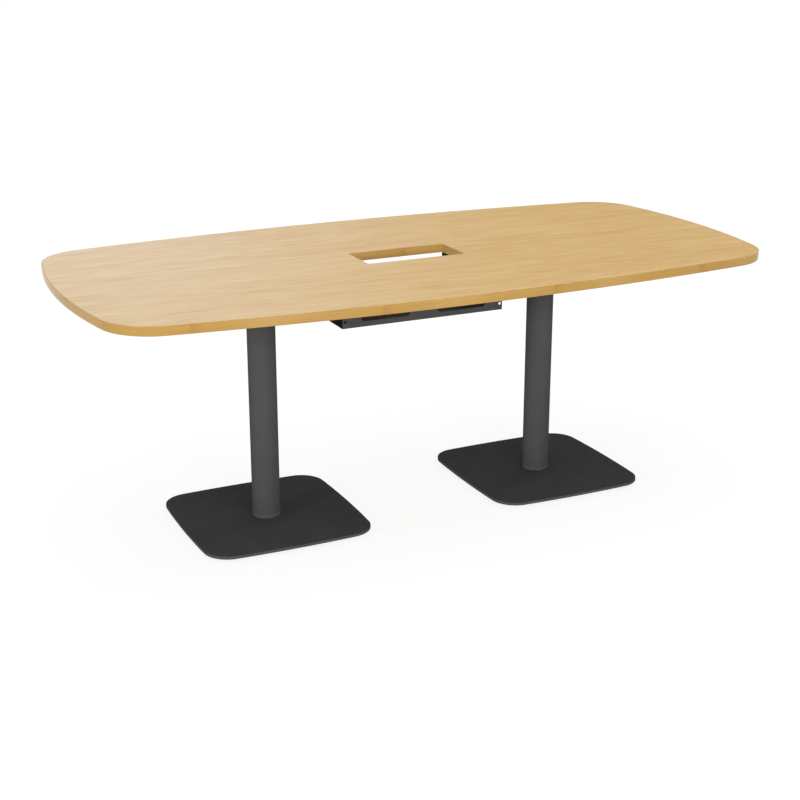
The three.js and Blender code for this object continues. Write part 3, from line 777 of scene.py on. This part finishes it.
class TABLE_OT_glides(bpy.types.Operator):
    """Builds the levelling glides, with fluted rims, and the threaded studs that they turn on"""
    bl_idname = "table.glides"
    bl_label = "Glides"

    def execute(self, context):
        legs = context.scene.table_settings.legs
        plastic = get_material("moulded_polyamide", moulded_polyamide, legs.glide_colour)
        zinc = get_material("zinc_plated_steel", zinc_plating, *BRIGHT_ZINC)
        for place in GLIDES:
            middle, size = spread(f"glide_foot_{place}")
            radius = size.x / 2
            collar = legs.collar / 2
            shoulder = size.z - legs.collar_height
            edge = GLIDE_EDGE
            bm = bmesh.new()
            foot = [
                (0, 0),
                (radius - edge, 0),
                (radius - edge * 0.3, edge * 0.3),
                (radius, edge),
                (radius, shoulder - edge),
                (radius - edge, shoulder),
                (collar, shoulder),
                (collar, size.z - edge * 0.5),
                (collar - edge * 0.5, size.z),
                (legs.bore, size.z),
                (legs.bore, legs.sole),
                (0, legs.sole),
            ]
            turn(bm, foot, GLIDE_SIDES)
            # Flutes every 15 degrees round the rim, drawn in to a share of its radius.
            flute = math.radians(15)
            groove_share = 0.965
            grooves = [
                vert for vert in bm.verts
                if vert.co.to_2d().length > radius - edge * 0.2
                and abs(bearing(vert.co) % flute - flute / 2) < 0.01
            ]
            bmesh.ops.scale(bm, verts=grooves, vec=(groove_share, groove_share, 1))
            stand(bm, middle, size)
            node = f"glide_foot_{place}"
            finish_piece(bm, f"glide_body_{place}", plastic, [node], f"glide_{place}")

            middle, size = spread(f"glide_stud_{place}")
            crest = size.x / 2
            root = crest - legs.thread * 0.6
            bm = bmesh.new()
            # Rings of crests and roots stand for the thread.
            stud = [(0, 0), (root, 0)]
            height = legs.thread * 0.5
            while height < size.z - legs.thread * 0.5:
                stud += [(crest, height), (root, height + legs.thread * 0.5)]
                height += legs.thread
            stud += [(root, size.z), (0, size.z)]
            turn(bm, stud, STUD_SIDES)
            stand(bm, middle, size)
            node = f"glide_stud_{place}"
            finish_piece(bm, f"thread_{place}", zinc, [node])
        return {"FINISHED"}


class TABLE_OT_cable_tray(bpy.types.Operator):
    """Builds the folded trough with the slots and holes in its lips"""
    bl_idname = "table.cable_tray"
    bl_label = "Cable tray"

    def execute(self, context):
        legs = context.scene.table_settings.legs
        tray = context.scene.table_settings.tray
        low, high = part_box("cable_tray")
        front = low.y
        foot = low.z + tray.bend
        bm = bmesh.new()
        # Right half of the front lip, with a slot and an end hole.
        start = bm.verts.new((0, front, foot))
        end = draw(bm, start, (high.x, front, foot))
        fold = bm.edges.get((start, end))
        upper = draw(bm, end, (high.x, front, high.z))
        upper = draw(bm, upper, (0, front, high.z))
        bm.edges.new((upper, start))
        radius = tray.slot_height / 2
        middle = low.z + tray.slot_rise + radius
        reach = tray.slot_length / 2 - radius
        right = tray.slot_spacing / 2 + reach
        left = tray.slot_spacing / 2 - reach
        first = bm.verts.new((right, front, middle - radius))
        vert = swing(bm, first, (right, front, middle), math.pi, ROUND_STEPS, axis=(0, -1, 0))
        vert = draw(bm, vert, (left, front, middle + radius))
        vert = swing(bm, vert, (left, front, middle), math.pi, ROUND_STEPS, axis=(0, -1, 0))
        bm.edges.new((vert, first))
        place = Matrix.Translation((high.x - tray.hole_distance, front, low.z + tray.hole_rise))
        upright = Matrix.Rotation(QUARTER, 4, "X")
        bmesh.ops.create_circle(bm, segments=SCREW_SIDES, radius=tray.hole / 2, matrix=place @ upright)
        fill(bm, bm.edges[:], facing=(0, -1, 0))
        # The fold under the lip, and the floor to the middle of the tray.
        bent = bmesh.ops.spin(
            bm,
            geom=[fold, start, end],
            cent=(0, front + tray.bend, foot),
            axis=(1, 0, 0),
            angle=QUARTER,
            steps=BEND_STEPS,
        )
        last = [part for part in bent["geom_last"] if isinstance(part, bmesh.types.BMEdge)]
        draw_out(bm, last, (0, -front - tray.bend, 0))
        mirror(bm, "X", "Y")
        bmesh.ops.recalc_face_normals(bm, faces=bm.faces[:])
        bmesh.ops.solidify(bm, geom=bm.faces[:], thickness=tray.sheet)
        round_edges(bm, sharp_edges(bm), SHEET_EDGE, 2)
        coat = get_material("anthracite_powder_coat", powder_coat, legs.coat_colour)
        skin = tray.sheet * 0.6

        def inside(place, way):
            return abs(place.y) < high.y - skin and place.z > low.z + skin and abs(way.x) < 0.5

        # The trough's inside gets the darker coat, painted shade under the top.
        coat_faces(bm, inside)
        piece = finish_piece(bm, "tray_trough", coat, ["cable_tray"])
        painted_shade_coat = get_material("powder_coat_painted_shade", powder_coat, legs.painted_shade_colour)
        piece.data.materials.append(painted_shade_coat)
        return {"FINISHED"}


class TABLE_OT_tray_hangers(bpy.types.Operator):
    """Builds the hat-shaped hangers that carry the tray"""
    bl_idname = "table.tray_hangers"
    bl_label = "Tray hangers"

    def execute(self, context):
        legs = context.scene.table_settings.legs
        tray = context.scene.table_settings.tray
        # The hangers get the darker coat, painted shade inside the trough.
        painted_shade_coat = get_material("powder_coat_painted_shade", powder_coat, legs.painted_shade_colour)
        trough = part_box("cable_tray")
        leg = trough[1].y - tray.sheet - tray.strap_gap
        # A leg's inner side is notched where it would close the outer end of a slot.
        sill = trough[0].z + tray.slot_rise - tray.notch_room
        lintel = sill + tray.slot_height + 2 * tray.notch_room
        cheek = (tray.slot_spacing + tray.slot_length) / 2 + tray.notch_room
        for end in ENDS:
            low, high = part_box(f"tray_hanger_{end}")
            x = low.x
            outer = tray.strap_bend + tray.strap
            brim = high.z - tray.strap
            bm = bmesh.new()
            vert = bm.verts.new((x, 0, low.z))
            vert = draw(bm, vert, (x, leg - outer, low.z))
            vert = swing(bm, vert, (x, leg - outer, low.z + outer), QUARTER, BEND_STEPS, axis=(1, 0, 0))
            vert = draw(bm, vert, (x, leg, sill))
            vert = draw(bm, vert, (x, leg, lintel))
            vert = draw(bm, vert, (x, leg, brim - tray.strap_bend))
            centre = (x, leg + tray.strap_bend, brim - tray.strap_bend)
            vert = swing(bm, vert, centre, -QUARTER, BEND_STEPS, axis=(1, 0, 0))
            draw(bm, vert, (x, high.y, brim))
            turned = cheek if end == "right" else -cheek
            halfway = draw_out(bm, bm.edges[:], (turned - x, 0, 0))
            draw_out(bm, halfway, (high.x - turned, 0, 0))
            inner = min if end == "right" else max
            panes = [
                face for face in bm.faces
                if all(sill - MERGE < vert.co.z < lintel + MERGE for vert in face.verts)
            ]
            pane = inner(panes, key=lambda face: face.calc_center_median().x)
            bmesh.ops.delete(bm, geom=[pane], context="FACES")
            mirror(bm, "Y")
            bmesh.ops.recalc_face_normals(bm, faces=bm.faces[:])
            bmesh.ops.reverse_faces(bm, faces=bm.faces[:])
            bmesh.ops.solidify(bm, geom=bm.faces[:], thickness=tray.strap)
            round_edges(bm, sharp_edges(bm), SHEET_EDGE, 2)
            finish_piece(bm, f"tray_strap_{end}", painted_shade_coat, [f"tray_hanger_{end}"])
        return {"FINISHED"}


class TABLE_OT_fasteners(bpy.types.Operator):
    """Builds the screws of the legs and the tray, and the tray's rivets"""
    bl_idname = "table.fasteners"
    bl_label = "Fasteners"

    def execute(self, context):
        zinc = get_material("zinc_plated_steel", zinc_plating, *BRIGHT_ZINC)
        black_zinc = get_material("black_zinc_plated_steel", zinc_plating, *BLACK_ZINC)
        for end in ENDS:
            for i in range(1, 5):
                node = f"base_screw_{end}_{i}"
                bm = make_screw(node, SUNK_HEAD, *BASE_SCREW)
                finish_piece(bm, f"sunk_screw_{end}_{i}", zinc, [node])
                node = f"top_plate_screw_{end}_{i}"
                bm = make_screw(node, PAN_HEAD, *PLATE_SCREW)
                finish_piece(bm, f"head_screw_{end}_{i}", zinc, [node])
            for side in SIDES:
                for i in (1, 2):
                    node = f"tray_screw_{end}_{side}_{i}"
                    bm = make_screw(node, PAN_HEAD, *TRAY_SCREW)
                    finish_piece(bm, f"hanger_screw_{end}_{side}_{i}", zinc, [node])
                node = f"tray_rivet_{end}_{side}"
                middle, size = spread(node)
                radius = size.x / 2
                head, shank = RIVET
                lower = [(radius * out, head * up) for out, up in RIVET_HEAD]
                upper = [(radius * out, size.z - head * up) for out, up in reversed(RIVET_HEAD)]
                bm = bmesh.new()
                turn(bm, lower + [(shank, head), (shank, size.z - head)] + upper, STUD_SIDES)
                stand(bm, middle, size)
                finish_piece(bm, f"blind_rivet_{end}_{side}", black_zinc, [node])
        return {"FINISHED"}


def add_seen(tree):
    """Socket that is 1 for what the camera, reflections and clear materials see."""
    path = add(tree, "LightPath").node.outputs
    rays = {0: path["Is Glossy Ray"], 1: path["Is Transmission Ray"]}
    mirrored = add(tree, "Math", rays, operation="MAXIMUM")
    return add(tree, "Math", {0: path["Is Camera Ray"], 1: mirrored}, operation="MAXIMUM")


def start_stage_material(name):
    """A new material of the stage, with an empty node tree."""
    material = start_material(name)
    material.node_tree.nodes.clear()
    return material, material.node_tree


def add_stage_sheet(name, reach, material):
    """Adds a flat square sheet of the stage, given half its side."""
    bm = bmesh.new()
    bmesh.ops.create_grid(bm, x_segments=4, y_segments=4, size=reach)
    mesh = bpy.data.meshes.new(name)
    bm.to_mesh(mesh)
    bm.free()
    mesh.materials.append(material)
    sheet = bpy.data.objects.new(name, mesh)
    bpy.context.scene.collection.objects.link(sheet)
    return sheet


def add_room(scene, stage):
    """World that is white to the eye and in reflections, and an even soft light on the object."""
    world = bpy.data.worlds.new("studio")
    scene.world = world
    world.use_nodes = True
    tree = world.node_tree
    tree.nodes.clear()
    soft = add(tree, "Background", {"Color": WHITE, "Strength": stage.ambient})
    white = add(tree, "Background", {"Color": WHITE, "Strength": 1.0})
    mixed = add(tree, "MixShader", {0: add_seen(tree), 1: soft, 2: white})
    add(tree, "OutputWorld", {"Surface": mixed})


def add_floor(stage):
    """Pale painted floor that keeps a soft shadow and fades to the white of the room."""
    material, tree = start_stage_material("studio_floor")
    paint = add(tree, "BsdfDiffuse", {"Color": stage.floor_colour})
    # The glow is a little over white, because the paint that it is mixed with is dimmer. It takes
    # over from the paint between 1 m and 3 m from the middle.
    glow = add(tree, "Emission", {"Color": WHITE, "Strength": 1.05})
    place = add(tree, "TexCoord", output="Object")
    reach = add(tree, "VectorMath", {0: place}, "Value", operation="LENGTH")
    limits = {"Value": reach, "From Min": 1.0, "From Max": 3.0, "To Min": 0.82, "To Max": 1.0}
    share = add(tree, "MapRange", limits)
    pale = add(tree, "MixShader", {0: share, 1: paint, 2: glow})
    bounce = add(tree, "BsdfDiffuse", {"Color": stage.bounce_colour})
    mixed = add(tree, "MixShader", {0: add_seen(tree), 1: bounce, 2: pale})
    add(tree, "OutputMaterial", {"Surface": mixed})
    add_stage_sheet("studio_floor", 20.0, material)


def add_card(stage):
    """Warm board on the right, behind the table, that only reflections see."""
    material, tree = start_stage_material("studio_card")
    # It fades in from its left side over 2.2 m, so the sheen on the top fades from left to right.
    place = add(tree, "TexCoord", output="Object")
    across = add(tree, "SeparateXYZ", {0: place}, "X")
    share = add(tree, "MapRange", {"Value": across, "From Min": -4.0, "From Max": -1.8})
    clear = add(tree, "BsdfTransparent")
    glow = add(tree, "Emission", {"Color": stage.card_colour, "Strength": 1.0})
    mixed = add(tree, "MixShader", {0: share, 1: clear, 2: glow})
    add(tree, "OutputMaterial", {"Surface": mixed})
    card = add_stage_sheet("studio_card", 4.0, material)
    card.rotation_euler = (QUARTER, 0, 0)
    card.location = (4.5, 4.5, 3.9)
    for ray in ("camera", "diffuse", "transmission", "volume_scatter", "shadow"):
        setattr(card, f"visible_{ray}", False)


def add_lamp(scene, name, place, size, power):
    """Soft rectangular lamp that the camera and reflections don't see."""
    light = bpy.data.lights.new(name, "AREA")
    light.shape = "RECTANGLE"
    light.size, light.size_y = size
    light.energy = power
    lamp = bpy.data.objects.new(name, light)
    lamp.location = place
    lamp.rotation_euler = (LAMP_TARGET - Vector(place)).to_track_quat("-Z", "Y").to_euler()
    lamp.visible_camera = False
    lamp.visible_glossy = False
    scene.collection.objects.link(lamp)


def add_camera(scene, stage):
    """Camera that looks at the table from its left front."""
    camera = bpy.data.cameras.new("camera")
    camera.lens = stage.lens
    camera.sensor_width = CAMERA_SENSOR
    eye = bpy.data.objects.new("camera", camera)
    eye.location = CAMERA_PLACE
    eye.rotation_euler = (QUARTER - CAMERA_DIP, 0, -CAMERA_TURN)
    scene.collection.objects.link(eye)
    scene.camera = eye


class TABLE_OT_stage(bpy.types.Operator):
    """Sets up the studio floor, the soft light and the camera"""
    bl_idname = "table.stage"
    bl_label = "Stage"

    def execute(self, context):
        scene = context.scene
        stage = scene.table_settings.stage
        scene.view_settings.view_transform = "Standard"
        add_room(scene, stage)
        add_floor(stage)
        add_card(stage)
        # A softbox above the top, low lamps on the left and in front for the upright faces, and a
        # weak one behind on the right for the faces that those leave dark.
        add_lamp(scene, "upper", (0.0, 0.0, 4.2), (4.6, 3.6), stage.upper_power)
        add_lamp(scene, "side", (-6.4, -2.2, 1.9), (2.2, 1.9), stage.side_power)
        add_lamp(scene, "front", (-0.5, -4.9, 1.9), (2.0, 1.6), stage.front_power)
        add_lamp(scene, "rear", (4.8, 2.4, 1.7), (1.8, 1.5), stage.rear_power)
        add_camera(scene, stage)
        return {"FINISHED"}


OPERATORS = (
    TABLE_OT_top_board,
    TABLE_OT_edge_strips,
    TABLE_OT_columns,
    TABLE_OT_plates,
    TABLE_OT_glides,
    TABLE_OT_cable_tray,
    TABLE_OT_tray_hangers,
    TABLE_OT_fasteners,
    TABLE_OT_stage,
)


class TABLE_PT_pieces(bpy.types.Panel):
    """Lists the table's pieces in the sidebar"""
    bl_label = "Conference Table"
    bl_space_type = "VIEW_3D"
    bl_region_type = "UI"
    bl_category = "Table"

    def draw(self, context):
        for operator in OPERATORS:
            self.layout.operator(operator.bl_idname)


CLASSES = (
    TopSettings,
    LegSettings,
    TraySettings,
    StageSettings,
    TableSettings,
    *OPERATORS,
    TABLE_PT_pieces,
)


def register():
    for entry in CLASSES:
        bpy.utils.register_class(entry)
    bpy.types.Scene.table_settings = PointerProperty(type=TableSettings)


def unregister():
    del bpy.types.Scene.table_settings
    for entry in reversed(CLASSES):
        bpy.utils.unregister_class(entry)


def main():
    register()
    bpy.ops.table.top_board()
    bpy.ops.table.edge_strips()
    bpy.ops.table.columns()
    bpy.ops.table.plates()
    bpy.ops.table.glides()
    bpy.ops.table.cable_tray()
    bpy.ops.table.tray_hangers()
    bpy.ops.table.fasteners()
    bpy.ops.table.stage()


if __name__ == "__main__":
    main()
